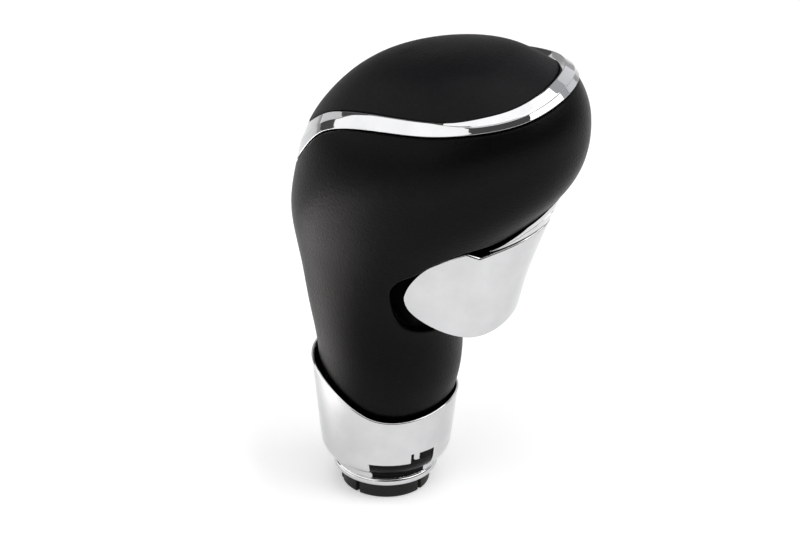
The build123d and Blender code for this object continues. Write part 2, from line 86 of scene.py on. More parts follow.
TRIGGER_LOW = [(37, 59.2), (33.5, 54.6), (31.5, 52.9), (29, 51.9), (25.5, 51.6),
               (22, 52.4), (18.5, 53.7), (15, 55.3), (12, 57.0), (10, 58.8),
               (8.9, 60.8), (8.7, 62.4), (9.3, 64.6), (11, 67.6), (13.5, 70.2),
               (17, 72.6), (21, 74.6), (24.2, 75.8)]
TRIGGER_TOP = [(27.2, 75.2), (30, 76.3), (33, 77.3), (36, 78.4), (38.5, 79.4),
               (40.4, 80.2), (46, 83.0)]
TRIGGER_ROOF = [(19.0, 71.8), (23.0, 73.8), (27.2, 74.0), (30, 75.1), (33, 76.1), (36, 77.2),
                (38.5, 78.2), (40.4, 79.0), (46, 81.8)]
BEZEL_INSET, BEZEL_WALL = 0.1, 1.5
BEZEL_LOW = [(29.3, 76.85), (30, 76.95), (31, 77.15), (32, 77.4), (33, 77.72), (36, 78.78),
             (38.5, 79.75), (40.4, 80.55), (46, 83.35)]
BEZEL_TOP = [(29.3, 77.0), (30, 77.2), (31, 77.62), (32, 78.12), (33.2, 78.9), (34.5, 79.8),
             (36, 80.95), (37.5, 82.4), (39, 84.1), (42, 87.5), (48, 92.0)]
COLLAR_CONE = ((16.4, 12.0), (19.72, 44.0))
LOCK_R, LOCK_ROOT_R, SLEEVE_R = 11.2, 10.1, 9.0
TABS = [(-68, 84), (-131, 32), (-173.5, 43), (-0.5, 41), (50, 50), (105, 50), (147.5, 25)]
SKIN_T = 2.0


# ---------------------------------------------------------------------------
# Curves
# ---------------------------------------------------------------------------
class Spline:
    """Natural cubic spline through rows of values, straight beyond its ends."""

    def __init__(self, x, y):
        x = np.asarray(x, float)
        y = np.asarray(y, float)
        self.flat = y.ndim == 1
        if self.flat:
            y = y[:, None]
        n, h = len(x), np.diff(x)
        a, b = np.zeros((n, n)), np.zeros(y.shape)
        a[0, 0] = a[-1, -1] = 1.0
        for i in range(1, n - 1):
            a[i, i - 1], a[i, i], a[i, i + 1] = h[i - 1], 2 * (h[i - 1] + h[i]), h[i]
            b[i] = 6 * ((y[i + 1] - y[i]) / h[i] - (y[i] - y[i - 1]) / h[i - 1])
        self.x, self.y, self.h, self.m = x, y, h, np.linalg.solve(a, b)

    def __call__(self, q):
        q = np.asarray(q, float)
        c = np.clip(q, self.x[0], self.x[-1])
        i = np.clip(np.searchsorted(self.x, c, side="right") - 1, 0, len(self.h) - 1)
        h = self.h[i][..., None]
        s = (c - self.x[i])[..., None]
        y0, y1, m0, m1 = self.y[i], self.y[i + 1], self.m[i], self.m[i + 1]
        slope0 = (y1 - y0) / h - h * (2 * m0 + m1) / 6
        out = y0 + slope0 * s + m0 / 2 * s ** 2 + (m1 - m0) / (6 * h) * s ** 3
        end = slope0 + m0 * s + (m1 - m0) / (2 * h) * s ** 2
        out = out + end * (q - c)[..., None]
        return out[..., 0] if self.flat else out


def graph(points):
    p = np.array(points, float)
    return Spline(p[:, 0], p[:, 1])


def drawn(points, n):
    """n points along the smooth curve through the given (x, z) points."""
    p = np.array(points, float)
    t = np.r_[0, np.cumsum(np.linalg.norm(np.diff(p, axis=0), axis=1))]
    return Spline(t, p)(np.linspace(0, t[-1], n))


rows = np.array(GRIP_SECTIONS)
mean = np.stack([rows[:, 0] + rows[:, 1] * rows[:, 5], (rows[:, 3] - rows[:, 2]) / 2, rows[:, 4]], -1)
ROW_U = np.r_[0, np.cumsum(np.linalg.norm(np.diff(mean, axis=0), axis=1))]
BODY = Spline(ROW_U, rows)
f_ring_low, f_ring_up, f_rim = graph(RING_LOWER), graph(RING_UPPER), graph(COLLAR_RIM)


def body_point(u, th):
    zc, m, xr, xf, w, xm = np.moveaxis(BODY(u), -1, 0)
    c, s = np.cos(th), np.sin(th)
    x = np.where(c >= 0, xm + (xf - xm) * c, xm + (xm - xr) * c)
    return np.stack([x, w * s, zc + m * x], -1)


def unit(v):
    return v / np.maximum(np.linalg.norm(v, axis=-1, keepdims=True), 1e-12)


def body_normal(u, th, e=2e-3):
    a = body_point(u + e, th) - body_point(u - e, th)
    b = body_point(u, th + e) - body_point(u, th - e)
    return unit(np.cross(b, a))


def crossing(f, th, lo, hi, shift=0.0):
    """Section parameter where the body meets the side curve f, for each direction."""
    lo, hi = np.full(th.shape, float(lo)), np.full(th.shape, float(hi))
    for _ in range(48):
        mid = (lo + hi) / 2
        p = body_point(mid, th)
        low = p[..., 2] - f(p[..., 0]) - shift < 0
        lo, hi = np.where(low, mid, lo), np.where(low, hi, mid)
    return (lo + hi) / 2


def walked(th, u0, u1, dist, share):
    """Rows of section parameter along each meridian from u0 to u1: first at the given
    distances from u0, then at shares of the length that is left. Also returns the distances."""
    U, D = [], []
    for t, a, b in zip(th, u0, u1):
        uu = np.linspace(a, b, 500)
        p = body_point(uu, np.full(500, t))
        L = np.r_[0, np.cumsum(np.linalg.norm(np.diff(p, axis=0), axis=1))]
        d = np.r_[dist, dist[-1] + (L[-1] - dist[-1]) * np.asarray(share)]
        U.append(np.interp(d, L, uu))
        D.append(d)
    return np.array(U), np.array(D)


def obliquity(th, u):
    """Sine of the angle between an edge u(th) and the meridians it crosses."""
    p = body_point(u, th)
    along = unit(np.roll(p, -1, axis=0) - np.roll(p, 1, axis=0))
    up = unit(body_point(u + 0.05, th) - body_point(u - 0.05, th))
    return np.linalg.norm(np.cross(along, up), axis=-1)


def ramp_up(x, a, b):
    q = np.clip((x - a) / (b - a), 0, 1)
    return q * q * (3 - 2 * q)


def roll_in(d, r):
    """Depth of a rounded edge of radius r at the distance d from it."""
    q = np.clip(r - d, 0, r)
    return r - np.sqrt(np.maximum(r * r - q * q, 0))


# ---------------------------------------------------------------------------
# Meshes
# ---------------------------------------------------------------------------
def quads(n, m, wrap_n=True, wrap_m=True):
    i = np.arange(n if wrap_n else n - 1)
    j = np.arange(m if wrap_m else m - 1)
    i, j = np.meshgrid(i, j, indexing="ij")
    i1, j1 = (i + 1) % n, (j + 1) % m
    return np.stack([i * m + j, i1 * m + j, i1 * m + j1, i * m + j1], -1).reshape(-1, 4)


def outward(verts, faces):
    """Faces turned so that the closed mesh has a positive volume."""
    tri = np.array([(f[0], f[k], f[k + 1]) for f in faces for k in range(1, len(f) - 1)])
    v = np.asarray(verts, float)
    vol = (v[tri[:, 0]] * np.cross(v[tri[:, 1]], v[tri[:, 2]])).sum()
    return [list(f)[::-1] for f in faces] if vol < 0 else [list(f) for f in faces]


def piece(name, verts, faces, material, body, node=None, normals=None, second=None):
    verts = np.asarray(verts, float)
    me = bpy.data.meshes.new(name)
    me.from_pydata((verts * MM).tolist(), [], [[int(k) for k in f] for f in faces])
    me.polygons.foreach_set("use_smooth", np.ones(len(me.polygons), bool))
    me.update()
    if normals is not None:
        me.normals_split_custom_set_from_vertices(np.asarray(normals, float).tolist())
    ob = bpy.data.objects.new(name, me)
    bpy.context.scene.collection.objects.link(ob)
    me.materials.append(material)
    if second is not None:
        me.materials.append(second[0])
        me.polygons.foreach_set("material_index", np.asarray(second[1], np.int32))
    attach(ob, body)
    if node:
        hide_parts(node)
    return ob


def cut_faces(faces, value, new_vertex, keep_low):
    """Splits faces along value 0. new_vertex(a, b, t) makes the vertex between a and b.
    With keep_low False the side below 0 is dropped. Returns faces and the cut edges."""
    made, out, edges = {}, [], []

    def between(a, b):
        key = (a, b) if a < b else (b, a)
        if key not in made:
            va, vb = value[key[0]], value[key[1]]
            made[key] = new_vertex(key[0], key[1], va / (va - vb))
            value.append(0.0)
        return made[key]

    for f in faces:
        v = [value[k] for k in f]
        if min(v) >= 0:
            out.append(f)
            continue
        if max(v) <= 0:
            if keep_low:
                out.append(f)
            continue
        high, low, on = [], [], []
        n = len(f)
        for k in range(n):
            a, b = f[k], f[(k + 1) % n]
            va, vb = v[k], v[(k + 1) % n]
            if va >= 0:
                high.append(a)
            if va <= 0:
                low.append(a)
            if va == 0:
                on.append(a)
            if (va > 0 > vb) or (va < 0 < vb):
                c = between(a, b)
                high.append(c)
                low.append(c)
                on.append(c)
        if len(high) >= 3:
            out.append(high)
        if keep_low and len(low) >= 3:
            out.append(low)
        if len(on) == 2:
            edges.append((on[0], on[1]))
    return out, edges


def outline_distance(pts, poly):
    """Signed distance in the side plane to a closed outline, negative inside."""
    a, b = poly, np.roll(poly, -1, axis=0)
    e = b - a
    ee = np.maximum((e ** 2).sum(1), 1e-12)
    out = np.empty(len(pts))
    for s in range(0, len(pts), 20000):
        q = pts[s:s + 20000]
        w = q[:, None] - a[None]
        t = np.clip((w * e[None]).sum(2) / ee[None], 0, 1)
        d = np.sqrt(((w - t[..., None] * e[None]) ** 2).sum(2).min(1))
        up = (a[None, :, 1] <= q[:, None, 1]) != (b[None, :, 1] <= q[:, None, 1])
        xc = a[None, :, 0] + (q[:, None, 1] - a[None, :, 1]) * e[None, :, 0] / np.where(e[None, :, 1] == 0, 1e-12, e[None, :, 1])
        odd = (up & (q[:, None, 0] < xc)).sum(1) % 2 == 1
        out[s:s + 20000] = np.where(odd, -d, d)
    return out


def surface_net(field, lo, step):
    """Closed mesh of a sampled field's zero level: a vertex in each crossed cell."""
    ins = field < 0
    n = np.array(field.shape) - 1
    count = np.zeros(n, np.int8)
    for i in (0, 1):
        for j in (0, 1):
            for k in (0, 1):
                count += ins[i:n[0] + i, j:n[1] + j, k:n[2] + k]
    cell = np.argwhere((count > 0) & (count < 8))
    ident = np.full(n, -1)
    ident[tuple(cell.T)] = np.arange(len(cell))
    pos, hits = np.zeros((len(cell), 3)), np.zeros(len(cell))
    for ax in range(3):
        o1, o2 = [k for k in range(3) if k != ax]
        for i in (0, 1):
            for j in (0, 1):
                c0 = np.zeros(3, int)
                c0[o1], c0[o2] = i, j
                c1 = c0.copy()
                c1[ax] = 1
                a = field[tuple((cell + c0).T)]
                b = field[tuple((cell + c1).T)]
                x = (a < 0) != (b < 0)
                t = np.where(x, a / np.where(x, a - b, 1), 0)
                p = c0[None] + t[:, None] * (c1 - c0)[None]
                pos += np.where(x[:, None], p, 0)
                hits += x
    verts = (cell + pos / hits[:, None]) * step + lo
    faces = []
    for ax in range(3):
        o1, o2 = [k for k in range(3) if k != ax]
        a = np.moveaxis(ins, (ax, o1, o2), (0, 1, 2))
        idn = np.moveaxis(ident, (ax, o1, o2), (0, 1, 2))
        e = a[:-1, 1:-1, 1:-1] != a[1:, 1:-1, 1:-1]
        w = np.argwhere(e)
        i, j, k = w[:, 0], w[:, 1] + 1, w[:, 2] + 1
        q = np.stack([idn[i, j - 1, k - 1], idn[i, j, k - 1], idn[i, j, k], idn[i, j - 1, k]], -1)
        turn = a[i, j, k] if ax != 1 else ~a[i, j, k]
        q = np.where(turn[:, None], q, q[:, ::-1])
        faces.append(q)
    return verts, np.concatenate(faces)


def settle(verts, f, rounds=3, e=0.06):
    """Moves vertices onto the zero level of f and returns them with the normals."""
    p = verts.copy()

    def grad(p):
        g = np.empty_like(p)
        for ax in range(3):
            d = np.zeros(3)
            d[ax] = e
            g[:, ax] = (f(p + d) - f(p - d)) / (2 * e)
        return g

    for _ in range(rounds):
        g = grad(p)
        step = f(p)[:, None] * g / np.maximum((g ** 2).sum(1, keepdims=True), 0.2)
        p = p - np.clip(step, -0.15, 0.15)
    return p, unit(grad(p))


# ---------------------------------------------------------------------------
# Materials: all from nodes, in object coordinates (metres)
# ---------------------------------------------------------------------------
class Mat:
    def __init__(self, name):
        self.m = bpy.data.materials.new(name)
        self.m.use_nodes = True
        self.t = self.m.node_tree
        self.b = self.t.nodes["Principled BSDF"]
        self.co = self.node("ShaderNodeTexCoord").outputs["Object"]

    def node(self, kind, **props):
        n = self.t.nodes.new(kind)
        for k, v in props.items():
            setattr(n, k, v)
        return n

    def link(self, a, b):
        self.t.links.new(a, b)

    def set(self, **values):
        for k, v in values.items():
            self.b.inputs[k.replace("_", " ")].default_value = v

    def noise(self, scale, detail=3.0, rough=0.55, vector=None, dims=None):
        n = self.node("ShaderNodeTexNoise")
        n.inputs["Scale"].default_value = scale
        n.inputs["Detail"].default_value = detail
        n.inputs["Roughness"].default_value = rough
        self.link(vector or self.co, n.inputs["Vector"])
        return n.outputs["Fac"]

    def cells(self, scale, feature="F1", vector=None, random=1.0):
        n = self.node("ShaderNodeTexVoronoi", feature=feature)
        n.inputs["Scale"].default_value = scale
        n.inputs["Randomness"].default_value = random
        self.link(vector or self.co, n.inputs["Vector"])
        return n.outputs["Distance"]

    def ramp(self, fac, stops):
        n = self.node("ShaderNodeValToRGB")
        e = n.color_ramp.elements
        e[0].position, e[0].color = stops[0][0], (*stops[0][1], 1)
        e[1].position, e[1].color = stops[-1][0], (*stops[-1][1], 1)
        for p, c in stops[1:-1]:
            x = e.new(p)
            x.color = (*c, 1)
        self.link(fac, n.inputs["Fac"])
        return n.outputs["Color"]

    def span(self, fac, lo, hi, a=0.0, b=1.0):
        n = self.node("ShaderNodeMapRange")
        n.inputs["From Min"].default_value, n.inputs["From Max"].default_value = a, b
        n.inputs["To Min"].default_value, n.inputs["To Max"].default_value = lo, hi
        self.link(fac, n.inputs["Value"])
        return n.outputs["Result"]

    def math(self, op, a, b):
        n = self.node("ShaderNodeMath", operation=op)
        for k, v in enumerate((a, b)):
            if isinstance(v, (int, float)):
                n.inputs[k].default_value = v
            else:
                self.link(v, n.inputs[k])
        return n.outputs[0]

    def bump(self, height, strength, distance, below=None):
        n = self.node("ShaderNodeBump")
        n.inputs["Strength"].default_value = strength
        n.inputs["Distance"].default_value = distance
        self.link(height, n.inputs["Height"])
        if below is not None:
            self.link(below, n.inputs["Normal"])
        return n.outputs["Normal"]

    def stretched(self, x, y, z):
        n = self.node("ShaderNodeMapping")
        n.inputs["Scale"].default_value = (x, y, z)
        self.link(self.co, n.inputs["Vector"])
        return n.outputs["Vector"]

    def base(self, c):
        self.link(c, self.b.inputs["Base Color"])

    def rough(self, c):
        self.link(c, self.b.inputs["Roughness"])

    def normal(self, c):
        self.link(c, self.b.inputs["Normal"])


def soft_touch(name, low, high, r0, r1, grain, depth, spec=0.3):
    """Fine pebbled matte skin: grain in the bump, mottled tone and gloss."""
    m = Mat(name)
    tone = m.math("ADD", m.math("MULTIPLY", m.noise(55, 4), 0.65), m.math("MULTIPLY", m.noise(900, 2), 0.35))
    m.base(m.ramp(tone, [(0.3, low), (0.72, high)]))
    pebble = m.cells(grain)
    fine = m.noise(grain * 2.2, 2)
    m.rough(m.span(m.math("ADD", m.noise(35, 3), m.math("MULTIPLY", pebble, 0.35)), r0, r1, 0.35, 0.95))
    m.normal(m.bump(fine, 0.35, depth * 0.6, m.bump(pebble, 0.6, depth)))
    m.set(Specular_IOR_Level=spec)
    return m.m


def plated(name, low, high, r0, r1, wave):
    """Bright plating on moulded plastic: faint flow waves, haze and specks of wear."""
    m = Mat(name)
    haze = m.noise(130, 5, 0.6)
    m.base(m.ramp(haze, [(0.3, low), (0.7, high)]))
    speck = m.span(m.cells(520), 0.12, 0.0, 0.0, 0.16)
    m.rough(m.math("ADD", m.span(m.noise(75, 4), r0, r1, 0.3, 0.7), speck))
    m.normal(m.bump(m.noise(70, 1), wave, 0.0006, m.bump(m.noise(2400, 2), 0.02, 0.00002)))
    m.set(Metallic=1.0)
    return m.m


def moulded(name, low, high, r0, r1, grain, depth, spec=0.45):
    """Moulded plastic: spark-eroded texture, weak flow streaks along the part."""
    m = Mat(name)
    flow = m.noise(1.0, 3, 0.6, m.stretched(60, 60, 18))
    m.base(m.ramp(m.math("ADD", m.math("MULTIPLY", flow, 0.6), m.math("MULTIPLY", m.noise(700, 2), 0.4)), [(0.3, low), (0.7, high)]))
    m.rough(m.span(m.noise(90, 4), r0, r1, 0.3, 0.7))
    m.normal(m.bump(m.noise(grain, 3), 0.5, depth))
    m.set(Specular_IOR_Level=spec)
    return m.m


def turned_steel(name, low, high, r0, r1):
    """Turned steel: fine tool rings along the axis, faint oil stain."""
    m = Mat(name)
    rings = m.noise(1.0, 2, 0.5, m.stretched(30, 30, 5200))
    m.base(m.ramp(m.math("ADD", m.math("MULTIPLY", m.noise(180, 4), 0.6), m.math("MULTIPLY", rings, 0.4)), [(0.3, low), (0.7, high)]))
    m.rough(m.span(m.math("ADD", m.math("MULTIPLY", rings, 0.5), m.math("MULTIPLY", m.noise(240, 3), 0.5)), r0, r1, 0.3, 0.7))
    m.normal(m.bump(rings, 0.25, 0.00003))
    m.set(Metallic=1.0)
    return m.m


MAT_SKIN = soft_touch("grip_soft_touch", (0.0012, 0.0011, 0.0010), (0.0030, 0.0028, 0.0026), 0.30, 0.42, 1500, 0.00007, 0.065)
MAT_CAP = soft_touch("cap_soft_touch", (0.0034, 0.0036, 0.0042), (0.0078, 0.0080, 0.0088), 0.42, 0.56, 1700, 0.00006, 0.10)
MAT_CHROME = plated("bright_plating", (0.54, 0.542, 0.545), (0.60, 0.602, 0.605), 0.035, 0.075, 0.05)
MAT_RING = plated("ring_plating", (0.53, 0.533, 0.538), (0.59, 0.593, 0.598), 0.03, 0.06, 0.04)
MAT_BEZEL = plated("bezel_plating", (0.58, 0.582, 0.585), (0.66, 0.662, 0.665), 0.03, 0.07, 0.08)
# gloss black used only as painted shade on the collar: the bared groove and the latch window are coloured dark where
# only mirrored shadow falls
MAT_PAINTED_SHADE = moulded("gloss_black_painted_shade", (0.002, 0.002, 0.0023), (0.0042, 0.0042, 0.0045), 0.2, 0.36, 1800, 0.00001, 0.05)
MAT_LOCK = moulded("black_nylon", (0.005, 0.0047, 0.0045), (0.012, 0.011, 0.0105), 0.42, 0.58, 1600, 0.00004, 0.22)
MAT_CORE = moulded("filled_nylon", (0.0010, 0.0010, 0.0011), (0.0026, 0.0026, 0.0028), 0.5, 0.7, 1300, 0.00006, 0.04)
MAT_STEEL = turned_steel("turned_steel", (0.42, 0.42, 0.43), (0.62, 0.62, 0.63), 0.2, 0.38)
MAT_SPRING = turned_steel("spring_steel", (0.35, 0.35, 0.36), (0.5, 0.5, 0.51), 0.25, 0.42)
MAT_ACETAL = moulded("acetal", (0.62, 0.61, 0.56), (0.74, 0.73, 0.68), 0.32, 0.48, 1500, 0.00003)
MAT_STOP = soft_touch("stop_rubber", (0.02, 0.02, 0.02), (0.035, 0.035, 0.035), 0.6, 0.8, 1200, 0.00008)

NODE_MATERIALS = {
    "grip_skin": MAT_SKIN, "top_cap": MAT_CAP, "trim_ring": MAT_RING, "trigger": MAT_CHROME,
    "trigger_carrier": MAT_CORE, "carrier_screws": MAT_STEEL, "trigger_pin": MAT_STEEL,
    "trigger_bezel": MAT_BEZEL, "trigger_stop": MAT_STOP, "crank_lever": MAT_ACETAL,
    "crank_pin": MAT_STEEL, "push_rod": MAT_STEEL, "rod_button": MAT_ACETAL, "rod_guide": MAT_ACETAL,
    "return_spring": MAT_SPRING, "lever_sleeve": MAT_STEEL, "lever_clip": MAT_SPRING,
    "base_collar": MAT_CHROME, "lock_ring": MAT_LOCK, "core_left": MAT_CORE, "core_right": MAT_CORE,
    "core_screws": MAT_STEEL}
for node, mat in NODE_MATERIALS.items():
    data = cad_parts[node].data
    data.materials.clear()
    data.materials.append(mat)

# ---------------------------------------------------------------------------
# Grip skin: a closed shell with rolled edges at the ring, the collar and the
# mouth of the trigger
# ---------------------------------------------------------------------------
N_TH = 264
TH = np.linspace(0, 2 * PI, N_TH, endpoint=False)
u_mid = ROW_U[5]
u_low = crossing(f_ring_low, TH, u_mid, ROW_U[-1], -RING_GAP)
U, D = walked(TH, u_low, np.zeros(N_TH), np.array([0, 0.05, 0.14, 0.28, 0.46, 0.7, 1.0]), np.linspace(0, 1, 121)[1:])
T2 = np.repeat(TH[:, None], U.shape[1], axis=1)
base = body_point(U, T2).reshape(-1, 3)
nrm = body_normal(U, T2).reshape(-1, 3)
d_ring = (D * obliquity(TH, u_low)[:, None]).reshape(-1)

mouth = np.concatenate([drawn(OPENING_TOP, 160), [[70, 90.5], [70, 51.2]], drawn(OPENING_BACK, 100)[::-1]])


def mouth_distance(p, n):
    e = 0.15
    q = p[:, [0, 2]]
    h = outline_distance(q, mouth)
    near = np.abs(h) < 4
    k = np.ones(len(p))
    qn = q[near]
    gx = (outline_distance(qn + [e, 0], mouth) - outline_distance(qn - [e, 0], mouth)) / (2 * e)
    gz = (outline_distance(qn + [0, e], mouth) - outline_distance(qn - [0, e], mouth)) / (2 * e)
    g = np.stack([gx, np.zeros(len(gx)), gz], -1)
    nn = n[near]
    k[near] = np.clip(np.linalg.norm(g - (g * nn).sum(1, keepdims=True) * nn, axis=1), 0.35, 1)
    return h / k


R_RING, R_MOUTH, R_RIM = 0.6, 0.5, 1.3
d_mouth = mouth_distance(base, nrm)
d_rim = (base[:, 2] - f_rim(base[:, 0])) * 0.9

P_base, P_n = [v for v in base], [v for v in nrm]
P_ring, P_rim, P_mouth = list(d_ring), list(d_rim), list(d_mouth)
faces = quads(N_TH, U.shape[1], True, False).tolist()


def mid_skin(a, b, t):
    P_base.append(P_base[a] * (1 - t) + P_base[b] * t)
    n = P_n[a] * (1 - t) + P_n[b] * t
    P_n.append(n / np.linalg.norm(n))
    P_ring.append(P_ring[a] * (1 - t) + P_ring[b] * t)
    P_rim.append(P_rim[a] * (1 - t) + P_rim[b] * t)
    P_mouth.append(P_mouth[a] * (1 - t) + P_mouth[b] * t)
    return len(P_base) - 1


for level in (0.5, 0.33, 0.18, 0.08, 0.02):
    val = [m - level for m in P_mouth]
    faces, _ = cut_faces(faces, val, mid_skin, True)
    for k in range(len(P_mouth)):
        if val[k] == 0.0:
            P_mouth[k] = level
val = list(P_mouth)
faces, lip = cut_faces(faces, val, mid_skin, False)
for k in range(len(P_mouth)):
    if val[k] == 0.0:
        P_mouth[k] = 0.0
Pb, Pn = np.array(P_base), np.array(P_n)
depth = roll_in(np.array(P_ring), R_RING) + roll_in(np.array(P_mouth), R_MOUTH) + roll_in(np.array(P_rim), R_RIM)
depth = np.minimum(depth, SKIN_T - 0.3)
top, under = Pb - Pn * depth[:, None], Pb - Pn * SKIN_T
used = np.unique(np.concatenate([np.array(f) for f in faces]))
remap = np.full(len(Pb), -1)
remap[used] = np.arange(len(used))
nk = len(used)
verts = np.concatenate([top[used], under[used]])
all_faces = [[remap[k] for k in f] for f in faces]
all_faces += [[remap[k] + nk for k in f][::-1] for f in faces]
count = {}
for f in faces:
    for k in range(len(f)):
        e = (f[k], f[(k + 1) % len(f)])
        count[e] = 1
for (a, b) in count:
    if (b, a) not in count:
        all_faces.append([remap[b], remap[a], remap[a] + nk, remap[b] + nk])
skin = piece("grip_skin_shell", verts, outward(verts, all_faces), MAT_SKIN, "knob", "grip_skin")

# ---------------------------------------------------------------------------
# Top cap: closed dome with a soft edge
# ---------------------------------------------------------------------------
u_up = crossing(f_ring_up, TH, u_mid, ROW_U[-1], RING_GAP)
U, D = walked(TH, u_up, np.full(N_TH, ROW_U[-1]), np.array([0, 0.04, 0.12, 0.26, 0.44, 0.68, 0.95]), np.linspace(0, 1, 61)[1:])
T2 = np.repeat(TH[:, None], U.shape[1], axis=1)
pb, pn = body_point(U, T2), body_normal(U, T2)
dd = D * obliquity(TH, u_up)[:, None]
dish = 1 - np.clip(dd / 13.0, 0, 1)
dep = roll_in(dd, 0.5) + 1.25 * dish ** 2 * (3 - 2 * dish) * ramp_up(pb[..., 0], -12, 12)
m = U.shape[1]
top = (pb - pn * dep[..., None]).reshape(-1, 3)
und = (pb - pn * 2.15).reshape(-1, 3)
pole_n = unit(pn[:, -1].mean(0))
pole = pb[:, -1].mean(0) + pole_n * 0.01
verts = np.concatenate([top, und, [pole, pole - pole_n * 2.15]])
k0 = len(top)
faces = quads(N_TH, m, True, False).tolist()
faces += [[k + k0 for k in f][::-1] for f in faces]
for i in range(N_TH):
    j = (i + 1) % N_TH
    faces.append([i * m + m - 1, j * m + m - 1, 2 * k0])
    faces.append([j * m + m - 1 + k0, i * m + m - 1 + k0, 2 * k0 + 1])
    faces.append([j * m, i * m, i * m + k0, j * m + k0])
cap = piece("top_cap_dome", verts, outward(verts, faces), MAT_CAP, "knob", "top_cap")

# ---------------------------------------------------------------------------
# Trim ring: main face, bevel towards the cap, rounded corners
# ---------------------------------------------------------------------------
N_R = 528
thr = np.linspace(0, 2 * PI, N_R, endpoint=False)
ua = crossing(f_ring_low, thr, u_mid, ROW_U[-1])
ub = crossing(f_ring_up, thr, u_mid, ROW_U[-1])
share = np.interp(np.abs(np.degrees((thr + PI) % (2 * PI) - PI)), [0, 38, 52, 60, 67, 74, 82, 112, 126, 134, 150, 180],
                  [0.42, 0.42, 0.44, 0.48, 0.56, 0.76, 0.92, 0.92, 0.80, 0.56, 0.50, 0.50])
for _ in range(6):
    share = (np.roll(share, 1) + 2 * share + np.roll(share, -1)) / 4
ring_v = []
for t, a, b, sb in zip(thr, ua, ub, share):
    tt = np.full(3, t)
    p0, pm, p1 = body_point(np.array([a, (a + b) / 2, b]), tt)
    W = np.linalg.norm(p1 - p0)
    across = (p1 - p0) / W
    nm = body_normal(np.array([(a + b) / 2]), np.array([t]))[0]
    nm = unit(nm - across * np.dot(nm, across))
    sag = max(np.dot(pm - p0, nm), 0.0)
    proud = 0.6 * float(ramp_up(pm[0], 6, 28))
    h0, h2 = 0.12 + proud, 0.04 + proud
    s1 = 0.16 + (W - 0.32) * sb
    h1 = 4 * sag * sb * (1 - sb) + 0.28 + proud
    prof = [(0.03, -1.9), (0.03, -0.8), (0.03, h0 - 0.2), (0.05, h0 - 0.08), (0.095, h0 - 0.02), (0.16, h0)]
    for q in (0.08, 0.3, 0.55, 0.8, 0.93):
        prof.append((0.16 + (s1 - 0.16) * q, h0 + (h1 - h0) * q - 0.012))
    prof += [(s1 - 0.12, h1 - 0.026), (s1 - 0.05, h1 - 0.016), (s1 + 0.05, h1 - 0.02), (s1 + 0.12, h1 - 0.036)]
    s2 = W - 0.16
    for q in (0.08, 0.22, 0.45, 0.7, 0.92):
        prof.append((s1 + (s2 - s1) * q, h1 + (h2 - h1) * q - 0.012 * (1 - q)))
    prof += [(s2, h2), (W - 0.095, h2 - 0.03), (W - 0.05, h2 - 0.09), (W - 0.03, h2 - 0.2), (W - 0.03, -0.9), (W - 0.03, -1.9)]
    prof = np.array(prof)
    ring_v.append(p0 + across * prof[:, :1] + nm * prof[:, 1:])
ring_v = np.array(ring_v)
m = ring_v.shape[1]
faces = quads(N_R, m).tolist()
verts = ring_v.reshape(-1, 3)
ring = piece("trim_ring_band", verts, outward(verts, faces), MAT_RING, "knob", "trim_ring")

# ---------------------------------------------------------------------------
# Release trigger: hollow plated paddle with rounded edges
# ---------------------------------------------------------------------------
plan = np.array(TRIGGER_PLAN)
f_plan = Spline(plan[:, 0], plan[:, 1:])
rim_line = drawn(TRIGGER_LOW, 220)
tip = int(rim_line[:, 0].argmin())
# the upper edge goes on a little behind the skin's mouth
rim_line[tip:, 1] += 0.8 * ramp_up(rim_line[tip:, 0], 10.5, 15.5) * (1 - ramp_up(rim_line[tip:, 0], 24.5, 27.0))
side_line = np.concatenate([rim_line, drawn(TRIGGER_TOP, 90), [[52, 87.4], [52, 59.2]]])
room_low = np.array(TRIGGER_LOW[:9]) + [0, TRIGGER_WALL]
room_line = np.concatenate([drawn(room_low, 80), [[0, 62], [0, 71.8]], drawn(TRIGGER_ROOF, 90), [[60, 84], [60, room_low[0][1]]]])
GX, GZ, GS = (2.0, 48.0), (46.0, 90.0), 0.1
gx = np.arange(GX[0], GX[1] + GS, GS)
gz = np.arange(GZ[0], GZ[1] + GS, GS)
flat = np.stack(np.meshgrid(gx, gz, indexing="ij"), -1).reshape(-1, 2)
side_map = outline_distance(flat, side_line).reshape(len(gx), len(gz))
room_map = outline_distance(flat, room_line).reshape(len(gx), len(gz))


def from_map(grid, x, z):
    i = np.clip((x - GX[0]) / GS, 0, len(gx) - 1.001)
    j = np.clip((z - GZ[0]) / GS, 0, len(gz) - 1.001)
    i0, j0 = i.astype(int), j.astype(int)
    a, b = i - i0, j - j0
    return (grid[i0, j0] * (1 - a) * (1 - b) + grid[i0 + 1, j0] * a * (1 - b)
            + grid[i0, j0 + 1] * (1 - a) * b + grid[i0 + 1, j0 + 1] * a * b)


def plan_distance(p):
    x, y, z = p[:, 0], p[:, 1], p[:, 2]
    w = f_plan(np.clip(z, 46, 91))
    a, b = w[:, 0] - TRIGGER_PLAN_X, w[:, 1]
    dx = np.maximum(x - TRIGGER_PLAN_X, 0)
    q = np.sqrt((dx / a) ** 2 + (y / b) ** 2)
    g = np.sqrt((dx / a ** 2) ** 2 + (y / b ** 2) ** 2)
    return (q - 1) * q / np.maximum(g, 1e-6)


def round_and(a, b, r):
    return np.minimum(np.maximum(a, b), -r) + np.sqrt(np.maximum(a + r, 0) ** 2 + np.maximum(b + r, 0) ** 2)


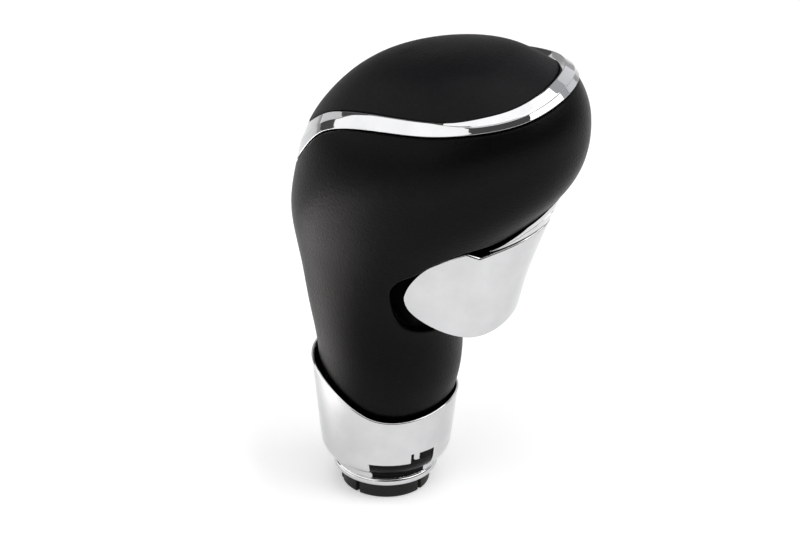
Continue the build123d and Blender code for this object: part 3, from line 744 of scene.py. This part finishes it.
def trigger_field(p):
    x, y, z = p[:, 0], p[:, 1], p[:, 2]
    dp, ds = plan_distance(p), from_map(side_map, x, z)
    outer = round_and(dp, ds, 0.75)
    room = np.maximum(dp + TRIGGER_WALL, from_map(room_map, x, z))
    slot = np.maximum(x - 18.0, np.abs(y) - 15.0)
    f = np.maximum(outer, -round_and(room, room, 0.0001))
    f = np.maximum(f, -slot)
    f = np.maximum(f, -np.maximum(np.maximum(np.abs(y) - 7.0, x - 33.5), 70 - z))
    for by in (10.5, -10.5):
        f = np.maximum(f, -np.maximum(np.hypot(x - 23.0, y - by) - 3.2, 70 - z))
    for by in (10.5, -10.5):
        out = y * np.sign(by)
        to_wall = np.where(out > 10.5, np.maximum(out - 15.0, 0), out - 10.5)
        stem = np.maximum(np.hypot(x - 23.0, to_wall) - 2.97, np.maximum(z - 66.0, np.maximum(ds, dp) + 0.4))
        stem = np.maximum(stem, 1.27 - np.hypot(x - 23.0, y - by))
        f = np.minimum(f, np.maximum(stem, 50 - z))
    return f


STEP = 0.4
lo = np.array([7.1, -19.9, 50.3])
shape = np.array([92, 100, 80])
ax = [lo[k] + STEP * np.arange(shape[k]) for k in range(3)]
pts = np.stack(np.meshgrid(*ax, indexing="ij"), -1).reshape(-1, 3)
field = trigger_field(pts).reshape(shape)
tv, tf = surface_net(field, lo, STEP)
tv, tn = settle(tv, trigger_field)
tf = outward(tv, tf.tolist())
trigger = piece("trigger_paddle", tv, tf, MAT_CHROME, "trigger", "trigger", normals=tn)

# ---------------------------------------------------------------------------
# Bezel: plated band between the skin's edge and the paddle, tapered at both ends,
# with a fine groove along its middle
# ---------------------------------------------------------------------------
f_low, f_top, f_open = graph(BEZEL_LOW), graph(BEZEL_TOP), graph(OPENING_TOP)


def plan_x(z, c, d):
    return TRIGGER_PLAN_X + (float(f_plan(np.array([z]))[0, 0]) - d - TRIGGER_PLAN_X) * c


def bezel_edge(edge, c):
    z = 79.0
    for _ in range(30):
        z = 0.4 * z + 0.6 * edge(np.array([min(max(plan_x(z, c, BEZEL_INSET), 29.3), 46.0)]))
    return float(z)


def bezel_upper(x):
    return float(min(f_top(x)[0], f_open(x)[0] - 0.06))


lo_c = (29.35 - TRIGGER_PLAN_X) / (float(f_plan(np.array([76.95]))[0, 0]) - BEZEL_INSET - TRIGGER_PLAN_X)
half = math.acos(lo_c)
bez = []
for t in np.linspace(-half, half, 221):
    c, sn = math.cos(t), math.sin(t)
    zl = bezel_edge(lambda x: float(f_low(x)[0]), c)
    zt = max(bezel_edge(bezel_upper, c), zl + 0.12)
    w = zt - zl
    e, g = min(0.09, 0.1 * w), min(0.18, 0.11 * w)
    mid, deep = 0.5 * w, min(0.6, 0.5 * w)
    prof = [(0.0, BEZEL_WALL), (0.0, 0.6), (0.0, 0.2), (0.25 * e, 0.08), (0.7 * e, 0.02), (1.4 * e, 0.0), (0.3 * w, 0.0),
            (mid - g - 0.4 * e, 0.0), (mid - g, 0.03), (mid - 0.75 * g, deep), (mid, deep + 0.03), (mid + 0.75 * g, deep),
            (mid + g, 0.03), (mid + g + 0.4 * e, 0.0), (0.7 * w, 0.0), (w - 1.4 * e, 0.0), (w - 0.7 * e, 0.02),
            (w - 0.25 * e, 0.08), (w, 0.2), (w, 0.6), (w, BEZEL_WALL)]
    line = []
    for h, d in prof:
        fx, fw = f_plan(np.array([zl + h]))[0]
        line.append((TRIGGER_PLAN_X + (fx - BEZEL_INSET - d - TRIGGER_PLAN_X) * c, (fw - BEZEL_INSET - d) * sn, zl + h))
    bez.append(line)
bez = np.array(bez)
m = bez.shape[1]
faces = quads(len(bez), m, False, True).tolist()
faces += [list(range(m)), [(len(bez) - 1) * m + k for k in range(m)][::-1]]
verts = bez.reshape(-1, 3)
bezel = piece("trigger_bezel_band", verts, outward(verts, faces), MAT_BEZEL, "knob", "trigger_bezel")

# ---------------------------------------------------------------------------
# Base collar: tapered sleeve with swept, rounded rim, skirt with a latch window, and lip; the gloss black on the bared
# groove and in the window is painted shade
# ---------------------------------------------------------------------------
(cr0, cz0), (cr1, cz1) = COLLAR_CONE


def cone_r(z):
    return cr0 + (cr1 - cr0) * (z - cz0) / (cz1 - cz0)


# latch window in the skirt, its taller end and the small hook in it, degrees from +X; where the skirt is sunk and
# inside the window the faces are painted black as shade
WINDOW, HOOK, LONG = (-51.4, -24.6), (-47.4, -43.4), (-89.4, -24.6)
WINDOW_TOP, HOOK_LOW, SLEEVE_LOW = 15.5, 13.6, 12.62
thd = np.arange(-180.0, 180.0, 1.0)
thd = np.unique(np.round(np.concatenate([thd, [e + d for e in WINDOW + HOOK + LONG[:1] for d in (-0.12, 0.12)]]), 4))
lip_part = [(11.45, 9.0), (11.4, 4.62), (11.6, 4.45), (12.1, 4.4), (12.5, 4.46), (12.85, 4.68), (13.08, 5.0),
            (13.16, 5.4), (13.14, 5.85), (13.02, 6.2), (12.84, 6.42), (12.66, 6.5)]
band_part = [(12.5, 6.56), (12.42, 6.8), (12.4, 7.3), (12.46, 7.8), (12.66, 8.2), (13.05, 8.55), (13.6, 8.9),
             (14.15, 9.34), (14.66, 9.9), (15.08, 10.6), (15.4, 11.4), (15.6, 12.1), (15.66, 12.56)]
edge_part = [(15.78, SLEEVE_LOW - 0.035), (16.16, SLEEVE_LOW), (16.33, 12.68), (16.42, 12.82), (16.46, 13.05), (16.5, 13.4),
             (16.515, HOOK_LOW - 0.05), (16.53, HOOK_LOW + 0.05), (16.6, 14.4), (16.635, 14.55), (16.66, 14.7),
             (16.745, WINDOW_TOP - 0.05), (16.765, WINDOW_TOP + 0.05)]
skirt_part = [(12.80, 6.56), (12.90, 6.8), (12.96, 7.3), (13.04, 7.8), (13.2, 8.25), (13.55, 8.7), (14.1, 9.05),
              (14.65, 9.38), (15.15, 9.78), (15.55, 10.25), (15.88, 10.8), (16.12, 11.4), (16.3, 12.05),
              (16.36, 12.3), (16.40, 12.5), (16.43, 12.68), (16.45, 12.82)]
low_part = np.array(lip_part + band_part + edge_part)
closed_part = np.array(lip_part + skirt_part + edge_part[4:])
n_low, n_lip, n_band = len(low_part), len(lip_part), len(band_part)


def inside(t, span):
    return float(np.clip(min(t - span[0], span[1] - t) / 0.24 + 0.5, 0, 1))


col, painted_shade_mask = [], []
for deg in thd:
    t = math.radians(deg)
    z = 30.0
    for _ in range(40):
        z = 0.5 * z + 0.5 * float(f_rim(np.array(cone_r(z) * math.cos(t))))
    sunk = inside(deg, LONG)
    low = low_part * sunk + closed_part * (1 - sunk)
    cut = np.where((low_part[:, 1] > SLEEVE_LOW - 0.05) & (low_part[:, 1] < WINDOW_TOP), inside(deg, WINDOW), 0.0)
    cut = np.where(low_part[:, 1] > HOOK_LOW, cut * (1 - inside(deg, HOOK)), cut)
    cut[:n_lip + n_band] = 0
    low[:, 0] = np.where(cut > 0, low[:, 0] + (15.68 + 0.104 * (low[:, 1] - SLEEVE_LOW) - low[:, 0]) * cut, low[:, 0])
    line = low.tolist()
    z0, z1 = 15.9, z - 0.75
    for k in range(22):
        zz = z0 + (z1 - z0) * k / 21
        line.append((cone_r(zz), zz))
    r = cone_r(z)
    for a in (12, 26, 42, 58, 74, 90):
        c, s = math.cos(math.radians(a)), math.sin(math.radians(a))
        line.append((r - 0.42 + 0.42 * c - 0.02 * a / 90, z - 0.58 + 0.42 * s * 1.15))
    line += [(r - 0.62, z - 0.16), (r - 0.74, z - 0.30), (r - 0.82, z - 0.55), (r - 0.86, z - 1.0), (r - 0.9, z - 2.0),
             (r - 1.05, z - 5.0), (cone_r(18) - 1.3, 18.0), (cone_r(12) - 1.6, 12.0), (13.2, 9.6)]
    line = np.array(line)
    shade = np.zeros(len(line), bool)
    # faces of the bared groove and of the window take the gloss black slot: painted shade standing in for the mirrored
    # shadow under the base
    shade[n_lip:n_lip + n_band] = sunk > 0.5
    shade[n_lip + n_band:n_low] = cut[n_lip + n_band:] > 0.5
    painted_shade_mask.append(shade)
    col.append(np.stack([line[:, 0] * math.cos(t), line[:, 0] * math.sin(t), line[:, 1]], -1))
col, painted_shade_mask = np.array(col), np.array(painted_shade_mask).reshape(-1)
m = col.shape[1]
faces = quads(len(thd), m)
verts = col.reshape(-1, 3)
# second material slot carries the painted shade of the groove and window
collar = piece("base_collar_sleeve", verts, outward(verts, faces.tolist()), MAT_CHROME, "knob", "base_collar",
               second=(MAT_PAINTED_SHADE, painted_shade_mask[faces].all(1)))

# ---------------------------------------------------------------------------
# Lock ring: tabbed ring with chamfered edges
# ---------------------------------------------------------------------------
edges = []
for mid, span in TABS:
    for s in (-1, 1):
        e = math.radians(mid + s * span / 2)
        edges += list(e + np.radians([-1.6, -0.9, -0.3, 0.3, 0.9, 1.6]))
tl = np.unique(np.round(np.concatenate([np.linspace(-PI, PI, 240, endpoint=False), (np.array(edges) + PI) % (2 * PI) - PI]), 5))
lock_v = []
for t in tl:
    w = 0.0
    for mid, span in TABS:
        da = abs((math.degrees(t) - mid + 180) % 360 - 180)
        w = max(w, float(np.clip((span / 2 - da) / 1.6 + 0.5, 0, 1)))
    w = w * w * (3 - 2 * w)
    r = LOCK_ROOT_R + (LOCK_R - 0.05 - LOCK_ROOT_R) * w
    zt = 4.1
    line = [(SLEEVE_R + 0.06, 0.25), (SLEEVE_R + 0.3, 0.02), (r - 0.55, 0.0), (r - 0.28, 0.06), (r - 0.1, 0.2), (r, 0.45),
            (r, 1.2), (r, 2.2), (r, 3.2), (r, zt - 0.25), (r + (LOCK_R - 0.05 - r) * 0.5, zt), (LOCK_R - 0.05, zt + 0.15), (LOCK_R - 0.05, 5.5), (LOCK_R - 0.05, 10.6),
            (LOCK_R - 0.4, 11.0), (SLEEVE_R + 0.3, 11.0), (SLEEVE_R + 0.06, 10.7), (SLEEVE_R + 0.06, 5.0)]
    lock_v.append([(q * math.cos(t), q * math.sin(t), z) for q, z in line])
lock_v = np.array(lock_v)
m = lock_v.shape[1]
verts = lock_v.reshape(-1, 3)
lock = piece("lock_ring_tabs", verts, outward(verts, quads(len(tl), m).tolist()), MAT_LOCK, "knob", "lock_ring")

# ---------------------------------------------------------------------------
# Stage: pale floor with a swept-up back, soft boxes, camera
# ---------------------------------------------------------------------------
prof = [(-3.0, 0.0), (2.0, 0.0)]
for k in range(1, 17):
    a = PI / 2 * k / 16
    prof.append((2.0 + 0.8 * math.sin(a), 0.8 - 0.8 * math.cos(a)))
prof.append((2.8, 2.6))
vs, fs = [], []
for y, z in prof:
    vs += [(-3.2, y, z), (3.2, y, z)]
for k in range(len(prof) - 1):
    fs.append((2 * k, 2 * k + 1, 2 * k + 3, 2 * k + 2))
me = bpy.data.meshes.new("floor")
me.from_pydata(vs, [], fs)
me.polygons.foreach_set("use_smooth", np.ones(len(me.polygons), bool))
floor = bpy.data.objects.new("floor", me)
bpy.context.scene.collection.objects.link(floor)
fm = Mat("floor_paper")
fm.base(fm.ramp(fm.noise(3.0, 3), [(0.3, (0.90, 0.90, 0.90)), (0.7, (0.92, 0.92, 0.92))]))
fm.rough(fm.span(fm.noise(40, 3), 0.75, 0.9, 0.3, 0.7))
fm.set(Specular_IOR_Level=0.1, Emission_Strength=0.26)
fm.b.inputs["Emission Color"].default_value = (1, 1, 1, 1)
me.materials.append(fm.m)

CENTRE = Vector((0.003, 0.0, 0.065))


def soft_box(name, az, el, dist, width, height, radiance, colour=(1, 1, 1)):
    a, e = math.radians(az), math.radians(el)
    back = Vector((math.sin(a) * math.cos(e), -math.cos(a) * math.cos(e), math.sin(e)))
    data = bpy.data.lights.new(name, "AREA")
    data.shape = "RECTANGLE"
    data.size, data.size_y = width, height
    data.energy = radiance * PI * width * height
    data.color = colour
    ob = bpy.data.objects.new(name, data)
    ob.location = CENTRE + back * dist
    ob.rotation_mode = "QUATERNION"
    ob.rotation_quaternion = (back).to_track_quat("Z", "Y")
    bpy.context.scene.collection.objects.link(ob)
    return ob


soft_box("key_left", -51, 30, 0.85, 1.72, 0.64, 1.52)
soft_box("fill_right", 92, 42, 0.85, 0.72, 0.62, 2.4)
soft_box("overhead", 32, 77, 0.95, 0.95, 0.95, 1.6)
soft_box("back_panel", 142, 30, 1.3, 1.5, 1.2, 0.5, (0.93, 0.95, 1.0))
soft_box("left_low", -120, 10, 1.2, 0.5, 0.4, 0.8)

# soft pool of light on the floor to the left, which the skin mirrors
pool = bpy.data.lights.new("floor_pool", "SPOT")
pool.energy = 200.0
pool.color = (1.0, 0.965, 0.94)
pool.spot_size = 2 * math.atan(0.082 / 1.1)
pool.spot_blend = 0.8
pool.shadow_soft_size = 0.02
pool_ob = bpy.data.objects.new("floor_pool", pool)
pool_ob.location = (-0.118, -0.040, 1.1)
bpy.context.scene.collection.objects.link(pool_ob)

world = bpy.data.worlds.new("studio")
bpy.context.scene.world = world
world.use_nodes = True
bg = world.node_tree.nodes["Background"]
bg.inputs["Color"].default_value = (1, 1, 1, 1)
bg.inputs["Strength"].default_value = 0.10

AZ, EL, ROLL = math.radians(16.0), math.radians(29.0), math.radians(0.8)
TARGET, DIST = Vector((3.048, 0.0, 60.767)) * MM, 0.8
back = Vector((math.sin(AZ) * math.cos(EL), -math.cos(AZ) * math.cos(EL), math.sin(EL)))
r0 = Vector((math.cos(AZ), math.sin(AZ), 0))
u0 = Vector((-math.sin(AZ) * math.sin(EL), math.cos(AZ) * math.sin(EL), math.cos(EL)))
right = r0 * math.cos(ROLL) + u0 * math.sin(ROLL)
up = -r0 * math.sin(ROLL) + u0 * math.cos(ROLL)
cam_data = bpy.data.cameras.new("camera")
cam_data.sensor_fit = "HORIZONTAL"
cam_data.sensor_width = 36.0
cam_data.lens = 3263.7 * 36.0 / 800.0
cam_data.clip_start, cam_data.clip_end = 0.01, 50
cam = bpy.data.objects.new("camera", cam_data)
bpy.context.scene.collection.objects.link(cam)
loc = TARGET + back * DIST
cam.matrix_world = Matrix(((right.x, up.x, back.x, loc.x), (right.y, up.y, back.y, loc.y),
                           (right.z, up.z, back.z, loc.z), (0, 0, 0, 1)))
bpy.context.scene.camera = cam
bpy.context.scene.view_settings.view_transform = "Standard"
